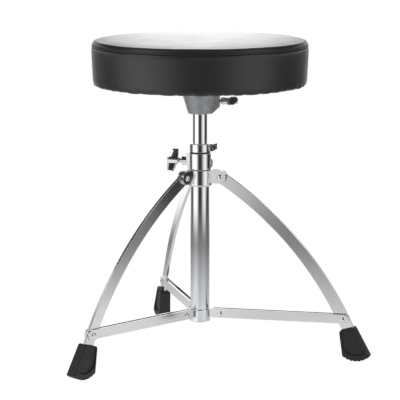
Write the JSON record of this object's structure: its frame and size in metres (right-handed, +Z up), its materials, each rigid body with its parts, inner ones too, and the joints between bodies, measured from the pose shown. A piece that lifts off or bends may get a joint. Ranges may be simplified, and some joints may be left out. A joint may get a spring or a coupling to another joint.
{
  "type": "drum throne",
  "caption": "Height-adjustable drum throne with a round padded seat on a sliding post, over a folding tripod base of curved flat legs, channel braces and rubber feet.",
  "frame": {"origin": "on the floor plane that the feet rest on, at the centre of the box that holds the whole throne; the post's axis stands at X -0.03192, Y -0.03192", "axes": "+Z up, parallel to the post; +X from the post towards the seat's wing bolt, 15 degrees from the right leg; +Y away from the front leg"},
  "size_m": [0.4452, 0.4452, 0.4755],
  "materials": {
    "chrome_tube": "polished",
    "chrome_cast": "polished",
    "chrome_flat": "polished",
    "chrome_small": "polished",
    "grey_casting": "satin",
    "zinc_steel": "satin",
    "black_rubber": "matte",
    "black_plastic": "satin",
    "plywood": "matte",
    "foam": "matte",
    "black_vinyl": "gloss",
    "black_cloth": "matte"
  },
  "bodies": {
    "base": {"outer_tube": "chrome_tube", "upper_casting": "chrome_cast", "post_bushing": "black_plastic", "clamp_shoe": "black_plastic", "casting_lock_screw": "chrome_small", "upper_leg_rivets": "chrome_small", "tube_end_cap": "black_plastic"},
    "lower_hub": {"lower_hub": "chrome_cast"},
    "brace_right": {"brace_right": "chrome_flat", "brace_rivets_right": "chrome_small"},
    "leg_right": {"leg_right": "chrome_flat", "leg_bush_right": "black_plastic", "foot_right": "black_rubber"},
    "brace_front": {"brace_front": "chrome_flat", "brace_rivets_front": "chrome_small"},
    "leg_front": {"leg_front": "chrome_flat", "leg_bush_front": "black_plastic", "foot_front": "black_rubber"},
    "brace_back": {"brace_back": "chrome_flat", "brace_rivets_back": "chrome_small"},
    "leg_back": {"leg_back": "chrome_flat", "leg_bush_back": "black_plastic", "foot_back": "black_rubber"},
    "post": {"inner_post": "chrome_tube", "post_guide_plug": "black_plastic"},
    "memory_lock": {"memory_lock": "chrome_cast"},
    "memory_key_bolt": {"memory_key_bolt": "chrome_small"},
    "height_wing_bolt": {"height_wing_bolt": "chrome_small"},
    "seat": {"seat_bracket": "grey_casting", "seat_bolts": "zinc_steel", "seat_tee_nuts": "zinc_steel", "seat_board": "plywood", "seat_foam": "foam", "seat_cover_top": "black_vinyl", "seat_cover_band": "black_vinyl", "seat_piping": "black_vinyl", "seat_dust_cloth": "black_cloth"},
    "seat_wing_bolt": {"seat_wing_bolt": "chrome_small"}
  },
  "joints": [
    {"name": "fold", "type": "slide", "parent": "base", "child": "lower_hub", "axis": [0, 0, 1], "range_m": [0, 0.11583]},
    {"name": "brace_right_pivot", "type": "hinge", "parent": "lower_hub", "child": "brace_right", "pos_m": [-0.00004, -0.04046, 0.059], "axis": [0.2588, 0.9659, 0], "range_deg": [0, 82.9]},
    {"name": "leg_right_pivot", "type": "hinge", "parent": "brace_right", "child": "leg_right", "pos_m": [0.18116, -0.08901, 0.061], "axis": [-0.2588, -0.9659, 0], "range_deg": [0, 45.9]},
    {"name": "brace_front_pivot", "type": "hinge", "parent": "lower_hub", "child": "brace_front", "pos_m": [-0.05525, -0.05525, 0.059], "axis": [0.7071, -0.7071, 0], "range_deg": [0, 82.9]},
    {"name": "leg_front_pivot", "type": "hinge", "parent": "brace_front", "child": "leg_front", "pos_m": [-0.18791, -0.18791, 0.061], "axis": [-0.7071, 0.7071, 0], "range_deg": [0, 45.9]},
    {"name": "brace_back_pivot", "type": "hinge", "parent": "lower_hub", "child": "brace_back", "pos_m": [-0.04046, -0.00004, 0.059], "axis": [-0.9659, -0.2588, 0], "range_deg": [0, 82.9]},
    {"name": "leg_back_pivot", "type": "hinge", "parent": "brace_back", "child": "leg_back", "pos_m": [-0.08901, 0.18116, 0.061], "axis": [0.9659, 0.2588, 0], "range_deg": [0, 45.9]},
    {"name": "post_height", "type": "slide", "parent": "base", "child": "post", "axis": [0, 0, 1], "range_m": [0, 0.145]},
    {"name": "memory_lock_slide", "type": "slide", "parent": "post", "child": "memory_lock", "axis": [0, 0, 1], "range_m": [0, 0.0435]},
    {"name": "memory_key_turn", "type": "hinge", "parent": "memory_lock", "child": "memory_key_bolt", "pos_m": [-0.01072, -0.03192, 0.3123], "axis": [0, -1, 0], "range_deg": [0, 360]},
    {"name": "height_bolt_turn", "type": "hinge", "parent": "base", "child": "height_wing_bolt", "pos_m": [-0.058, -0.02493, 0.29], "axis": [-0.9659, 0.2588, 0], "range_deg": [0, 360]},
    {"name": "seat_swivel", "type": "hinge", "parent": "post", "child": "seat", "pos_m": [-0.03192, -0.03192, 0.38], "axis": [0, 0, 1], "continuous": true},
    {"name": "seat_bolt_turn", "type": "hinge", "parent": "seat", "child": "seat_wing_bolt", "pos_m": [-0.00192, -0.03192, 0.3804], "axis": [1, 0, 0], "range_deg": [0, 360]}
  ],
  "couplings": [
    {"joint": "brace_right_pivot", "follows": "fold", "rad_per_m": 12.489},
    {"joint": "leg_right_pivot", "follows": "fold", "rad_per_m": 6.9139},
    {"joint": "brace_front_pivot", "follows": "fold", "rad_per_m": 12.489},
    {"joint": "leg_front_pivot", "follows": "fold", "rad_per_m": 6.9139},
    {"joint": "brace_back_pivot", "follows": "fold", "rad_per_m": 12.489},
    {"joint": "leg_back_pivot", "follows": "fold", "rad_per_m": 6.9139}
  ]
}
